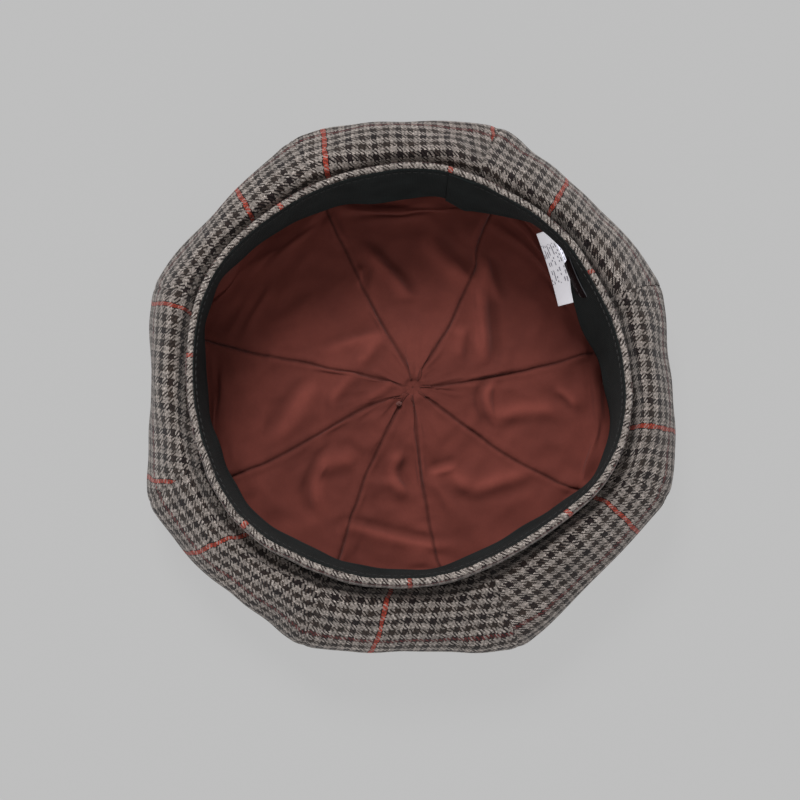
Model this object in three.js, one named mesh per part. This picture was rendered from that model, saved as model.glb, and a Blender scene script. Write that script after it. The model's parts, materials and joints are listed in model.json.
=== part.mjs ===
// An eight-panel octagonal newsboy cap without a peak, lying on its crown with the head opening facing up.
// Millimetres, +Z up out of the head opening, origin on the resting surface below the crown's centre.
// The front of the cap faces -Y and the back, where the sweatband's ends meet, faces +Y.
import * as THREE from "three";
import { mergeVertices } from "three/addons/utils/BufferGeometryUtils.js";

// ---- Driving dimensions ----
const PANELS = 8;
const OPENING_X = 94.1; // half of the opening's width, at the headband's inner face
const OPENING_Y = 89.1; // half of the opening's length, front to back
const RIM_Z = 65; // height of the rim above the table
const SEAM_Z = 48; // height of the seam between headband and crown
const WIDEST_Z = 22; // height of the crown's widest line
const FLAT_RADIUS = 118.5; // from the centre to the middle of one side of the octagon
const CORNER_SHARE = 0.72; // 1 gives a sharp octagon, 0 a circle
const FOLD_RADIUS = 22; // bend of the cloth between the crown's top and its side
const SHOULDER = 2.5; // 2 makes the side above the widest line a quarter ellipse, more makes it squarer
const GAP = 0.3; // clearance between neighbouring pieces

// Cloth thicknesses
const TWEED = 1.4;
const LINING = 0.5;
const RIBBON = 0.7;

const LINING_INSET = 4; // how far the lining hangs inside the crown's outer surface

// Headband: a folded tweed strip around a stiffener
const BAND_WALL = 0.95;
const STIFFENER = 0.7;
const BAND_THICKNESS = 2 * BAND_WALL + STIFFENER + 2 * GAP;
const ALLOWANCE_END = 0.4; // the crown cloth runs in under the headband to this far from its inner face

// Sweatband: a ribbon sewn to the rim, with its other edge free inside the cap
const SWEATBAND_TOP = RIM_Z - 1;
const SWEATBAND_WIDTH = 31;
const SWEATBAND_LEAN = 5; // how far the free edge stands inside the sewn one

// Button at the centre of the crown, which lifts the cloth above it off the table
const BUTTON_RADIUS = 11;
const BUTTON_HEIGHT = 4.8;
const BUTTON_CLOTH = 0.9;
const LIFT = BUTTON_HEIGHT + GAP;
const DIMPLE_RADIUS = 46; // where the cloth reaches the table again
const PIN_RADIUS = 1.2;
const HUB_RADIUS = 4; // hole where the eight panel points meet
const LINING_HUB = 3;
const WASHER_RADIUS = 7;

// Labels: the care label hangs from behind the sweatband's free edge, the size label from its inner face.
// angle says where a label sits round the cap and facing which way it looks away from, both in degrees.
const CARE_LABEL = {
  angle: 37.7, facing: 16, sewnZ: 31.8, width: 35, length: 16, leaf: 0.35, fold: 1.6, tilt: 21, off: -4.8,
};
const SIZE_LABEL = {
  angle: 30, facing: 27, sewnZ: 48, width: 24, length: 10, thickness: 0.5, tilt: 14, off: 2.6,
};

const RING_STEPS = 64;
const TAU = 2 * Math.PI;
const radians = THREE.MathUtils.degToRad;
const mix = THREE.MathUtils.lerp;

const cloth = (color, roughness = 0.95) => new THREE.MeshStandardMaterial({ color, roughness, metalness: 0 });
const MATERIALS = {
  tweed: cloth(0x5b4f4a),
  lining: cloth(0x6e3c37, 0.7),
  ribbon: cloth(0x1c2020, 0.8),
  buckram: cloth(0xcfc8b6),
  careLabel: cloth(0xe6e6ee, 0.8),
  sizeLabel: cloth(0x0c0c10, 0.35),
  thread: cloth(0x5a2f2b),
  mould: new THREE.MeshStandardMaterial({ color: 0x2a2a2a, roughness: 0.5, metalness: 0 }),
  steel: new THREE.MeshStandardMaterial({ color: 0xb8b8ba, roughness: 0.35, metalness: 1 }),
};

const cap = new THREE.Group();

function add(name, geometry, material) {
  const mesh = new THREE.Mesh(geometry, material);
  mesh.name = name;
  cap.add(mesh);
  return mesh;
}

// ---- Outlines ----

// Distance from the axis to the oval opening, grown outwards by an offset, in the direction of an angle.
function openingRadius(angle, offset) {
  const a = OPENING_X + offset;
  const b = OPENING_Y + offset;
  return (a * b) / Math.hypot(b * Math.cos(angle), a * Math.sin(angle));
}

// Distance from the axis to the soft octagon of the crown's widest line. The middles of its sides lie at
// 0, 45, 90 degrees and so on.
function octagonRadius(angle) {
  const side = TAU / PANELS;
  const fromMiddle = angle - Math.round(angle / side) * side;
  return FLAT_RADIUS * (1 + CORNER_SHARE * (1 / Math.cos(fromMiddle) - 1));
}

// The crown's outer surface in one half plane, from the centre to the end of the headband's seam allowance.
// steps says how many spans each stretch has.
function crownLine(angle, steps, hubRadius) {
  const edge = octagonRadius(angle);
  const seam = openingRadius(angle, BAND_THICKNESS);
  const end = openingRadius(angle, ALLOWANCE_END);
  const flatEnd = edge - FOLD_RADIUS;
  const line = [new THREE.Vector2(hubRadius, LIFT)];
  for (let i = 0; i <= steps.dimple; i++) {
    const t = i / steps.dimple;
    const height = (LIFT * (1 + Math.cos(Math.PI * t))) / 2;
    line.push(new THREE.Vector2(mix(BUTTON_RADIUS + 2, DIMPLE_RADIUS, t), height));
  }
  for (let i = 1; i <= steps.flat; i++) {
    line.push(new THREE.Vector2(mix(DIMPLE_RADIUS, flatEnd, i / steps.flat), 0));
  }
  for (let i = 1; i <= steps.fold; i++) {
    const turn = (Math.PI / 2) * (i / steps.fold);
    line.push(new THREE.Vector2(flatEnd + FOLD_RADIUS * Math.sin(turn), WIDEST_Z * (1 - Math.cos(turn))));
  }
  for (let i = 1; i <= steps.side; i++) {
    const turn = (Math.PI / 2) * (i / steps.side);
    const out = Math.max(Math.cos(turn), 0) ** (2 / SHOULDER);
    const up = Math.sin(turn) ** (2 / SHOULDER);
    line.push(new THREE.Vector2(mix(seam, edge, out), mix(WIDEST_Z, SEAM_Z, up)));
  }
  line.push(new THREE.Vector2(end, SEAM_Z));
  return line;
}

// The same line moved towards the inside of the cap by a distance.
function inset(line, distance) {
  return line.map((point, i) => {
    const before = line[Math.max(i - 1, 0)];
    const after = line[Math.min(i + 1, line.length - 1)];
    const along = after.clone().sub(before).normalize();
    return new THREE.Vector2(point.x - along.y * distance, point.y + along.x * distance);
  });
}

// ---- Solids ----

// A closed solid between two grids of points, outer[row][column] and inner[row][column].
// A ring closes on itself along its columns.
function solidBetween(outer, inner, ring = false) {
  const rows = outer.length;
  const columns = outer[0].length;
  const positions = [...outer.flat(), ...inner.flat()].flatMap((p) => [p.x, p.y, p.z]);
  const at = (layer, row, column) => layer * rows * columns + row * columns + (column % columns);
  const faces = [];
  const quad = (a, b, c, d) => faces.push(a, b, c, a, c, d);
  const spans = ring ? columns : columns - 1;
  for (let r = 0; r < rows - 1; r++) {
    for (let c = 0; c < spans; c++) {
      quad(at(0, r, c), at(0, r, c + 1), at(0, r + 1, c + 1), at(0, r + 1, c));
      quad(at(1, r, c), at(1, r + 1, c), at(1, r + 1, c + 1), at(1, r, c + 1));
    }
  }
  for (let c = 0; c < spans; c++) {
    quad(at(0, 0, c + 1), at(0, 0, c), at(1, 0, c), at(1, 0, c + 1));
    quad(at(0, rows - 1, c), at(0, rows - 1, c + 1), at(1, rows - 1, c + 1), at(1, rows - 1, c));
  }
  for (let r = 0; !ring && r < rows - 1; r++) {
    quad(at(0, r, 0), at(0, r + 1, 0), at(1, r + 1, 0), at(1, r, 0));
    quad(at(0, r + 1, columns - 1), at(0, r, columns - 1), at(1, r, columns - 1), at(1, r + 1, columns - 1));
  }
  const geometry = new THREE.BufferGeometry();
  geometry.setAttribute("position", new THREE.Float32BufferAttribute(positions, 3));
  geometry.setIndex(faces);
  return mergeVertices(geometry);
}

// One gore of a cloth layer that lies a depth inside the crown's outer surface.
function gore(index, { steps, columns, depth, thickness, hubRadius }) {
  const middle = (index * TAU) / PANELS;
  const halfAngle = TAU / PANELS / 2;
  const layer = (distance) => {
    const lines = [];
    for (let c = 0; c <= columns; c++) {
      const share = (2 * c) / columns - 1;
      const line = inset(crownLine(middle + share * halfAngle, steps, hubRadius), distance);
      lines.push(
        line.map(({ x: radius, y: z }) => {
          const angle = middle + share * (halfAngle - Math.asin(GAP / 2 / radius));
          return new THREE.Vector3(radius * Math.cos(angle), radius * Math.sin(angle), z);
        }),
      );
    }
    return lines[0].map((_, row) => lines.map((line) => line[row]));
  };
  return solidBetween(layer(depth), layer(depth + thickness));
}

// A ring that follows the oval opening. outer and inner list its section as [offset, z], from low to high.
function openingRing(outer, inner) {
  const grid = (section) =>
    section.map(([offset, z]) => {
      const row = [];
      for (let i = 0; i < RING_STEPS; i++) {
        const angle = (i * TAU) / RING_STEPS;
        const radius = openingRadius(angle, offset);
        row.push(new THREE.Vector3(radius * Math.cos(angle), radius * Math.sin(angle), z));
      }
      return row;
    });
  return solidBetween(grid(outer), grid(inner), true);
}

// A body of revolution about the cap's axis, from its closed [radius, z] profile.
function turned(profile, segments = 24) {
  const points = [...profile, profile[0]].map(([radius, z]) => new THREE.Vector2(radius, z));
  return new THREE.LatheGeometry(points, segments).rotateX(Math.PI / 2);
}

// ---- Crown ----

function addCrown() {
  const shell = { steps: { dimple: 3, flat: 1, fold: 4, side: 6 }, columns: 5 };
  const soft = { steps: { dimple: 2, flat: 1, fold: 3, side: 4 }, columns: 4 };
  for (let i = 0; i < PANELS; i++) {
    const tweed = gore(i, { ...shell, depth: 0, thickness: TWEED, hubRadius: HUB_RADIUS });
    const lining = gore(i, { ...soft, depth: LINING_INSET, thickness: LINING, hubRadius: LINING_HUB });
    add(`crown_panel_${i + 1}`, tweed, MATERIALS.tweed);
    add(`lining_panel_${i + 1}`, lining, MATERIALS.lining);
  }
}

// ---- Headband, stiffener and sweatband ----

function addHeadband() {
  const foot = SEAM_Z + GAP;
  const slot = BAND_WALL; // the stiffener's slot starts this far from either face
  const wide = BAND_THICKNESS;
  const slotTop = RIM_Z - BAND_WALL;
  const outside = [
    [wide, foot],
    [wide, mix(foot, RIM_Z, 0.5)],
    [wide, RIM_Z - 1],
    [wide - 1, RIM_Z],
    [1, RIM_Z],
    [0, RIM_Z - 1],
    [0, foot],
  ];
  const inside = [
    [wide - slot, foot],
    [wide - slot, mix(foot, RIM_Z, 0.5)],
    [wide - slot, slotTop - 0.3],
    [wide - slot, slotTop],
    [slot, slotTop],
    [slot, slotTop - 0.3],
    [slot, foot],
  ];
  add("headband", openingRing(outside, inside), MATERIALS.tweed);

  const top = slotTop - GAP;
  const stiffenerOut = slot + GAP + STIFFENER;
  const stiffenerIn = slot + GAP;
  const stiffener = openingRing(
    [
      [stiffenerOut, foot],
      [stiffenerOut, top],
    ],
    [
      [stiffenerIn, foot],
      [stiffenerIn, top],
    ],
  );
  add("headband_stiffener", stiffener, MATERIALS.buckram);

  const freeZ = SWEATBAND_TOP - SWEATBAND_WIDTH;
  const sewn = -GAP;
  const free = -GAP - SWEATBAND_LEAN;
  const sweatband = openingRing(
    [
      [free, freeZ],
      [sewn, SWEATBAND_TOP],
    ],
    [
      [free - RIBBON, freeZ],
      [sewn - RIBBON, SWEATBAND_TOP],
    ],
  );
  add("sweatband", sweatband, MATERIALS.ribbon);
}

// ---- Button ----

// The cover is a cup of tweed over a domed mould. A pin runs from the mould through the crown to a washer
// inside. The lining's knot sits above it.
function addButton() {
  const inner = BUTTON_RADIUS - BUTTON_CLOTH;
  const rise = (t) => 1 - Math.sqrt(1 - (t * 0.98) ** 2);
  const dome = (radius, low, high) =>
    [0, 0.35, 0.65, 0.88, 1].map((t) => [radius * t, low + (high - low) * rise(t)]);
  const coverOut = dome(BUTTON_RADIUS, 0, BUTTON_HEIGHT - 1);
  const coverIn = dome(inner, BUTTON_CLOTH, BUTTON_HEIGHT - 1);
  const cover = [...coverOut, [BUTTON_RADIUS, BUTTON_HEIGHT], [inner, BUTTON_HEIGHT], ...coverIn.reverse()];
  add("button_cover", turned(openProfile(cover)), MATERIALS.tweed);

  const mouldRadius = inner - GAP;
  const mouldTop = BUTTON_HEIGHT - 0.4;
  const mouldDome = dome(mouldRadius, BUTTON_CLOTH + GAP, BUTTON_HEIGHT - 0.9);
  const mould = [...mouldDome, [mouldRadius, mouldTop], [0, mouldTop]];
  add("button_mould", turned(openProfile(mould)), MATERIALS.mould);

  const clothTop = LIFT + TWEED;
  const washerLow = clothTop + GAP;
  const washerHigh = washerLow + 0.6;
  const pinHead = washerHigh + GAP;
  const washerHole = PIN_RADIUS + GAP;
  const washer = [
    [washerHole, washerLow],
    [WASHER_RADIUS, washerLow],
    [WASHER_RADIUS, washerHigh],
    [washerHole, washerHigh],
  ];
  add("button_washer", turned(washer), MATERIALS.steel);

  const pin = [
    [0, mouldTop + GAP],
    [PIN_RADIUS, mouldTop + GAP],
    [PIN_RADIUS, pinHead],
    [2.4, pinHead],
    [2.4, pinHead + 0.6],
    [0, pinHead + 0.6],
  ];
  add("button_pin", turned(openProfile(pin), 12), MATERIALS.steel);

  const tackLow = LIFT + LINING_INSET;
  const tackRadius = LINING_HUB - GAP - 0.4;
  const tack = [
    [0, tackLow],
    [tackRadius * 0.8, tackLow + 0.3],
    [tackRadius, tackLow + 1],
    [tackRadius * 0.7, tackLow + 1.7],
    [0, tackLow + 2],
  ];
  add("lining_tack", turned(openProfile(tack), 12), MATERIALS.thread);
}

// A profile whose ends lie on the axis, with points closer together than a hair dropped.
function openProfile(points) {
  return points.filter(([radius, z], i) => {
    const [lastRadius, lastZ] = points[Math.max(i - 1, 0)];
    return i === 0 || Math.hypot(radius - lastRadius, z - lastZ) > 0.01;
  });
}

// ---- Labels ----

// Places a label drawn with its width along X and its length down -Y, sewn edge on the X axis,
// so that it hangs from the sweatband, tilted inwards from the vertical.
function hang(mesh, label) {
  const angle = radians(label.angle);
  const drop = (SWEATBAND_TOP - label.sewnZ) / SWEATBAND_WIDTH;
  const wall = openingRadius(angle, -GAP - RIBBON - SWEATBAND_LEAN * drop);
  const radius = wall - label.off;
  mesh.rotation.set(Math.PI / 2 + radians(label.tilt), 0, radians(label.facing) + Math.PI / 2, "ZXY");
  mesh.position.set(radius * Math.cos(angle), radius * Math.sin(angle), label.sewnZ);
}

function addLabels() {
  const { width, length, leaf, fold } = CARE_LABEL;
  const loop = new THREE.Shape();
  loop.moveTo(-fold / 2, 0);
  loop.lineTo(-fold / 2, -length + fold / 2);
  loop.absarc(0, -length + fold / 2, fold / 2, Math.PI, TAU, false);
  loop.lineTo(fold / 2, 0);
  loop.closePath();
  const inside = new THREE.Path();
  const gap = fold / 2 - leaf;
  inside.moveTo(-gap, -leaf);
  inside.lineTo(gap, -leaf);
  inside.lineTo(gap, -length + fold / 2);
  inside.absarc(0, -length + fold / 2, gap, 0, Math.PI, true);
  inside.closePath();
  loop.holes.push(inside);
  const care = new THREE.ExtrudeGeometry(loop, { depth: width, bevelEnabled: false, curveSegments: 4 });
  care.translate(0, 0, -width / 2).rotateY(Math.PI / 2);
  hang(add("care_label", care, MATERIALS.careLabel), CARE_LABEL);

  const { width: tabWidth, length: tabLength, thickness } = SIZE_LABEL;
  const tab = new THREE.BoxGeometry(tabWidth, tabLength, thickness).translate(0, -tabLength / 2, 0);
  hang(add("size_label", tab, MATERIALS.sizeLabel), SIZE_LABEL);
}

addCrown();
addHeadband();
addButton();
addLabels();

export default cap;
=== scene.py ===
import json
import math

import bpy
import numpy as np
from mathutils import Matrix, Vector


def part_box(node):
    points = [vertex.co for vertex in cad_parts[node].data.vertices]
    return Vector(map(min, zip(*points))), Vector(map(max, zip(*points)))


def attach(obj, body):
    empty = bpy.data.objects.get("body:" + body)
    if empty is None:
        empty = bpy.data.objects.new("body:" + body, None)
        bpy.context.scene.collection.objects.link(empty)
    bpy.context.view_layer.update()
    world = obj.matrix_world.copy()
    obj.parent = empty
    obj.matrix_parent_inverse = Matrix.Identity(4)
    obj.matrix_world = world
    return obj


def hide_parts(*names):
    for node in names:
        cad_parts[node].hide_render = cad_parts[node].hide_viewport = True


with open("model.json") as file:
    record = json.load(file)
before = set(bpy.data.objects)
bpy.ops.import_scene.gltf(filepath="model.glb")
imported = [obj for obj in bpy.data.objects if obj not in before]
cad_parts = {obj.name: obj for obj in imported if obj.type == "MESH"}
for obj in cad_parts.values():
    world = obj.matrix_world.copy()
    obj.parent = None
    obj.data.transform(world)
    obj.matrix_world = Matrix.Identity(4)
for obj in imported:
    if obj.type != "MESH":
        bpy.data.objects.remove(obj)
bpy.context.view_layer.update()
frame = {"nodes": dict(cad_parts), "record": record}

TAU = 2 * math.pi
PANELS = 8
MM = 0.001


# ---- Sizes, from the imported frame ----


def across(node, axis):
    """Half of a node's extent along an axis."""
    low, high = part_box(node)
    return (high[axis] - low[axis]) / 2


BAND_THICKNESS = 3.2 * MM
OPENING_X = across("headband", 0) - BAND_THICKNESS
OPENING_Y = across("headband", 1) - BAND_THICKNESS
RIM_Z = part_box("headband")[1][2]
SEAM_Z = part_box("crown_panel_1")[1][2]
FLAT_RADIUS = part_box("crown_panel_1")[1][0]
WIDEST_Z = 22 * MM
FOLD_RADIUS = 22 * MM
CORNER_SHARE = 0.72
SHOULDER = 2.5
PUFF = 8 * MM  # how far the crown's cloth stands up beside the headband
TWEED = 1.4 * MM
SWEATBAND_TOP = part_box("sweatband")[1][2]
SWEATBAND_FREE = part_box("sweatband")[0][2]
SWEATBAND_WIDTH = SWEATBAND_TOP - SWEATBAND_FREE
RIBBON = 0.7 * MM
BUTTON_RADIUS = across("button_cover", 0)
BUTTON_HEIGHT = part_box("button_cover")[1][2]
LIFT = BUTTON_HEIGHT + 0.3 * MM
DIMPLE_RADIUS = 46 * MM
LINING_INSET = 4.2 * MM

# Where the seams between panels run round the cap. Sewn by hand, they aren't quite even.
CROWN_SEAMS = np.radians([-23.5, 22, 70.5, 114.5, 158.5, 204, 248.5, 293.5])
LINING_SEAMS_OUT = np.radians([-29, 13, 63, 112, 163, 206, 248, 283])
LINING_SEAMS_IN = np.radians([-35, 6, 57, 112, 163, 203, 242, 279])
LINING_STAR = np.array([3.5, 3.0]) * MM  # where the lining's points meet, off the cap's axis

# How the cloth of each crown panel was cut: where its overcheck line crosses the widest line, measured
# from the panel's middle, and the turn of its grain.
PANEL_CUTS = [
    (-18.5 * MM, 0.03),
    (14.8 * MM, 0.20),
    (32.4 * MM, 0.03),
    (-16.7 * MM, -0.25),
    (36.5 * MM, -0.22),
    (-20.6 * MM, -0.33),
    (-19.0 * MM, -0.22),
    (28.0 * MM, 0.11),
]

THREAD = 0.46 * MM  # pitch of the tweed's threads
STRIPE = 6  # threads in one stripe of the check
OVERCHECK = 28  # stripes from one coloured line to the next
MAROON_ABOVE_WIDEST = 19 * MM
FOLD_DEPTH = 1.3 * MM  # how deep a fold of the lining sinks at most


# ---- Numbers and grids ----


def smooth(low, high, x):
    t = np.clip((x - low) / (high - low), 0, 1)
    return t * t * (3 - 2 * t)


def ripples(points, wavelength, seed, waves=14):
    """A smooth random field over points in space, about -1 to 1, whose bumps are about a wavelength apart."""
    rng = np.random.default_rng(seed)
    directions = rng.normal(size=(waves, 3))
    directions /= np.linalg.norm(directions, axis=1)[:, None]
    lengths = wavelength * rng.uniform(0.7, 1.5, waves)
    phases = rng.uniform(0, TAU, waves)
    total = sum(
        np.sin(points @ d * (TAU / length) + phase)
        for d, length, phase in zip(directions, lengths, phases)
    )
    return total / math.sqrt(waves / 2) / 1.6


def periodic(angles, values):
    """Smooth interpolation round a circle through values given at every tenth degree."""
    at = np.radians(10 * np.arange(len(values)))
    at = np.concatenate([at - TAU, at, at + TAU])
    values = np.tile(values, 3)
    x = np.mod(np.asarray(angles), TAU)
    i = np.clip(np.searchsorted(at, x) - 1, 1, len(at) - 3)
    h = at[i + 1] - at[i]
    t = (x - at[i]) / h
    slope0 = (values[i + 1] - values[i - 1]) / (at[i + 1] - at[i - 1]) * h
    slope1 = (values[i + 2] - values[i]) / (at[i + 2] - at[i]) * h
    a = 2 * t**3 - 3 * t**2 + 1
    b = t**3 - 2 * t**2 + t
    c = -2 * t**3 + 3 * t**2
    d = t**3 - t**2
    return a * values[i] + b * slope0 + c * values[i + 1] + d * slope1


def polar(radius, angle, z):
    return np.stack([radius * np.cos(angle), radius * np.sin(angle), z * np.ones_like(radius * angle)], -1)


def refine(grid, axis, ring=False):
    """The grid with a new row or column halfway between each two, on a smooth curve through them."""
    g = np.moveaxis(grid, axis, 0)
    if ring:
        before, after, beyond = np.roll(g, 1, 0), np.roll(g, -1, 0), np.roll(g, -2, 0)
        middle = (9 * (g + after) - before - beyond) / 16
        out = np.empty((2 * len(g), *g.shape[1:]))
        out[0::2], out[1::2] = g, middle
    else:
        padded = np.concatenate([2 * g[:1] - g[1:2], g, 2 * g[-1:] - g[-2:-1]])
        middle = (9 * (padded[1:-2] + padded[2:-1]) - padded[:-3] - padded[3:]) / 16
        out = np.empty((2 * len(g) - 1, *g.shape[1:]))
        out[0::2], out[1::2] = g, middle
    return np.moveaxis(out, 0, axis)


def arc_lengths(line):
    """Distance along a line of points from its first one."""
    steps = np.linalg.norm(np.diff(line, axis=0), axis=1)
    return np.concatenate([[0], np.cumsum(steps)])


def resample(line, at):
    along = arc_lengths(line)
    return np.stack([np.interp(at, along, line[:, k]) for k in range(line.shape[1])], -1)


def link(name, mesh, material=None):
    piece = bpy.data.objects.new(name, mesh)
    bpy.context.scene.collection.objects.link(piece)
    if material:
        mesh.materials.append(material)
    return piece


def grid_piece(name, points, material=None, grain=None, ring=False, flip=False, painted_shade=None):
    """A smooth surface through a grid of points. grain holds each point's place on the flat cloth, in metres;
    on a ring it has one more column than the points. The layer for painted shade holds each point's distance
    from a seam, and how far a fold raises it, which the lining's material turns into painted shade and
    highlight."""
    rows, columns = points.shape[:2]
    index = np.arange(rows * columns).reshape(rows, columns)
    spans = columns if ring else columns - 1
    r, c = np.meshgrid(np.arange(rows - 1), np.arange(spans), indexing="ij")
    corners = [(r, c), (r, c + 1), (r + 1, c + 1), (r + 1, c)]
    if flip:
        corners.reverse()
    quads = np.stack([index[a, b % columns] for a, b in corners], -1).reshape(-1, 4)
    mesh = bpy.data.meshes.new(name)
    mesh.from_pydata(points.reshape(-1, 3).tolist(), [], quads.tolist())
    for layer, at in (("grain", grain), ("painted_shade", painted_shade)):
        if at is not None:
            flat = np.stack([at[a, b] for a, b in corners], -2).astype(np.float32)
            mesh.uv_layers.new(name=layer).data.foreach_set("uv", flat.ravel())
    mesh.polygons.foreach_set("use_smooth", np.ones(len(mesh.polygons), bool))
    mesh.validate()
    return link(name, mesh, material)


def thicken(piece, thickness, offset=-1.0):
    modifier = piece.modifiers.new("thickness", "SOLIDIFY")
    modifier.thickness = thickness
    modifier.offset = offset


def cloth_piece(piece, body, nodes):
    """Says what a piece of cloth rides on and which CAD nodes it stands for."""
    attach(piece, body)
    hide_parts(*nodes)


# ---- Outlines ----


def opening_radius(angle, offset):
    a, b = OPENING_X + offset, OPENING_Y + offset
    return a * b / np.hypot(b * np.cos(angle), a * np.sin(angle))


# How far the soft cap stands outside its even outline, in millimetres, at every tenth degree round it.
RIM_OUT = [
    1.4, 0.3, -0.5, -0.6, 0.4, 0.7, 0.9, 2.2, 3.7, 3.4, 2.2, 1.8, 1.5, 1.2, 1.8, 2.4, 1.5, -0.3,
    -1.3, -1.4, -0.7, 1.0, 2.4, 1.9, 0.5, 0.3, 0.3, -0.5, -0.8, -2.0, -2.7, -2.5, -0.8, 2.2, 3.3, 2.9,
]
EDGE_OUT = [
    0.1, -0.7, 0.2, 2.5, 2.0, 2.1, 2.1, 5.3, 5.5, 2.6, 2.6, 3.8, 2.4, 0.6, -0.6, -1.8, -2.6, -3.6,
    -3.8, -2.6, 0.4, 1.8, 3.1, 2.2, 0.6, 1.4, 0.9, -1.0, -0.2, 1.6, 3.7, 3.1, 2.8, 2.6, 3.4, 2.6,
]


def rim_wave(angle):
    """How the soft headband departs from its oval: outwards and upwards."""
    up = 0.7 * np.cos(2 * angle + 0.6) + 0.5 * np.cos(3 * angle + 2.1) + 0.25 * np.cos(7 * angle)
    return periodic(angle, RIM_OUT) * MM, (up - 0.6) * MM


def widest_radius(angle, share):
    """Radius of the crown's widest line. share is the place across a panel, from -1 to 1."""
    half = math.pi / PANELS
    to_corner = half * (1 - np.abs(share))
    softened = half - np.sqrt(to_corner**2 + 0.06**2)
    even = FLAT_RADIUS * (1 + CORNER_SHARE * (1 / np.cos(np.maximum(softened, 0)) - 1))
    return even + periodic(angle, EDGE_OUT) * MM


def crown_profile(angle, share, hub):
    """The crown's outer surface in one half plane, from near the axis to the headband, as (radius, z)."""
    edge = float(widest_radius(angle, share))
    wave_out, wave_up = rim_wave(angle)
    seam = float(opening_radius(angle, BAND_THICKNESS) + wave_out)
    end = float(opening_radius(angle, 0.6 * MM) + wave_out)
    top = SEAM_Z + float(wave_up)
    flat_end = edge - FOLD_RADIUS
    button_edge = BUTTON_RADIUS + 2 * MM
    line = [(hub, LIFT)]
    for t in np.linspace(0, 1, 16):
        line.append((button_edge + t * (DIMPLE_RADIUS - button_edge), LIFT * (1 + math.cos(math.pi * t)) / 2))
    line += [(DIMPLE_RADIUS + t * (flat_end - DIMPLE_RADIUS), 0) for t in np.linspace(0.1, 1, 10)]
    for turn in np.linspace(0, math.pi / 2, 24)[1:]:
        line.append((flat_end + FOLD_RADIUS * math.sin(turn), WIDEST_Z * (1 - math.cos(turn))))
    widest = len(line) - 1
    for turn in np.linspace(0, math.pi / 2, 36)[1:]:
        out = max(math.cos(turn), 0) ** (2 / SHOULDER)
        up = math.sin(turn) ** (2 / SHOULDER)
        from_seam = (edge - seam) * out
        swell = PUFF * smooth(0, 6 * MM, from_seam) * (1 - smooth(7 * MM, 27 * MM, from_seam))
        line.append((seam + from_seam, WIDEST_Z + (top - WIDEST_Z) * up + swell))
    line.append((end, top))
    line = np.array(line)
    return line, arc_lengths(line)[widest]


# ---- Shader graphs ----


class Graph:
    """A material's node tree, written as arithmetic on sockets and numbers."""

    def __init__(self, name):
        self.material = bpy.data.materials.new(name)
        self.material.use_nodes = True
        self.tree = self.material.node_tree
        self.tree.nodes.clear()
        output = self.tree.nodes.new("ShaderNodeOutputMaterial")
        self.shader = self.tree.nodes.new("ShaderNodeBsdfPrincipled")
        self.tree.links.new(self.shader.outputs[0], output.inputs["Surface"])

    def set(self, socket, value):
        if isinstance(value, bpy.types.NodeSocket):
            self.tree.links.new(value, socket)
        else:
            socket.default_value = value

    def node(self, kind, inputs=(), **settings):
        node = self.tree.nodes.new(kind)
        for key, value in settings.items():
            setattr(node, key, value)
        for key, value in dict(inputs).items():
            self.set(node.inputs[key], value)
        return node

    def math(self, operation, *values):
        node = self.node("ShaderNodeMath", operation=operation)
        for socket, value in zip(node.inputs, values):
            self.set(socket, value)
        return node.outputs[0]

    def plus(self, a, b):
        return self.math("ADD", a, b)

    def minus(self, a, b):
        return self.math("SUBTRACT", a, b)

    def times(self, a, b):
        return self.math("MULTIPLY", a, b)

    def over(self, a, b):
        return self.math("DIVIDE", a, b)

    def wave(self, x, pitch):
        return self.math("SINE", self.times(x, TAU / pitch))

    def vector(self, x, y, z=0.0):
        return self.node("ShaderNodeCombineXYZ", {"X": x, "Y": y, "Z": z}).outputs[0]

    def pair(self, layer):
        """The two numbers that a UV layer holds."""
        uv = self.node("ShaderNodeUVMap", uv_map=layer).outputs[0]
        parts = self.node("ShaderNodeSeparateXYZ", {0: uv}).outputs
        return parts[0], parts[1]

    def place(self):
        return self.node("ShaderNodeTexCoord").outputs["Object"]

    def noise(self, vector, scale, detail=2.0, roughness=0.5):
        inputs = {"Vector": vector, "Scale": scale, "Detail": detail, "Roughness": roughness}
        return self.node("ShaderNodeTexNoise", inputs).outputs[0]

    def random(self, vector):
        return self.node("ShaderNodeTexWhiteNoise", {"Vector": vector}, noise_dimensions="3D").outputs[0]

    def mix(self, share, a, b, blend="MIX"):
        node = self.node("ShaderNodeMix", data_type="RGBA", blend_type=blend)
        self.set(node.inputs[0], share)
        self.set(node.inputs[6], a)
        self.set(node.inputs[7], b)
        return node.outputs[2]

    def scaled(self, colour, factor):
        """A colour times a number."""
        grey = self.node("ShaderNodeCombineColor", {0: factor, 1: factor, 2: factor}).outputs[0]
        return self.mix(1.0, colour, grey, "MULTIPLY")

    def remap(self, value, low, high, to_low, to_high):
        inputs = {0: value, 1: low, 2: high, 3: to_low, 4: to_high}
        return self.node("ShaderNodeMapRange", inputs).outputs[0]

    def bump(self, height, distance, strength=1.0):
        inputs = {"Height": height, "Distance": distance, "Strength": strength}
        return self.node("ShaderNodeBump", inputs).outputs[0]

    def finish(self, colour, roughness, normal=None, **constants):
        self.set(self.shader.inputs["Base Color"], colour)
        self.set(self.shader.inputs["Roughness"], roughness)
        if normal:
            self.set(self.shader.inputs["Normal"], normal)
        for key, value in constants.items():
            self.shader.inputs[key.replace("_", " ")].default_value = value
        return self.material


def rgb(red, green, blue):
    """A colour as it looks on a screen, 0 to 255, as the shader's linear numbers."""
    parts = [c / 255 for c in (red, green, blue)]
    return tuple(c / 12.92 if c <= 0.04045 else ((c + 0.055) / 1.055) ** 2.4 for c in parts) + (1.0,)


# ---- Materials ----

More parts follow.
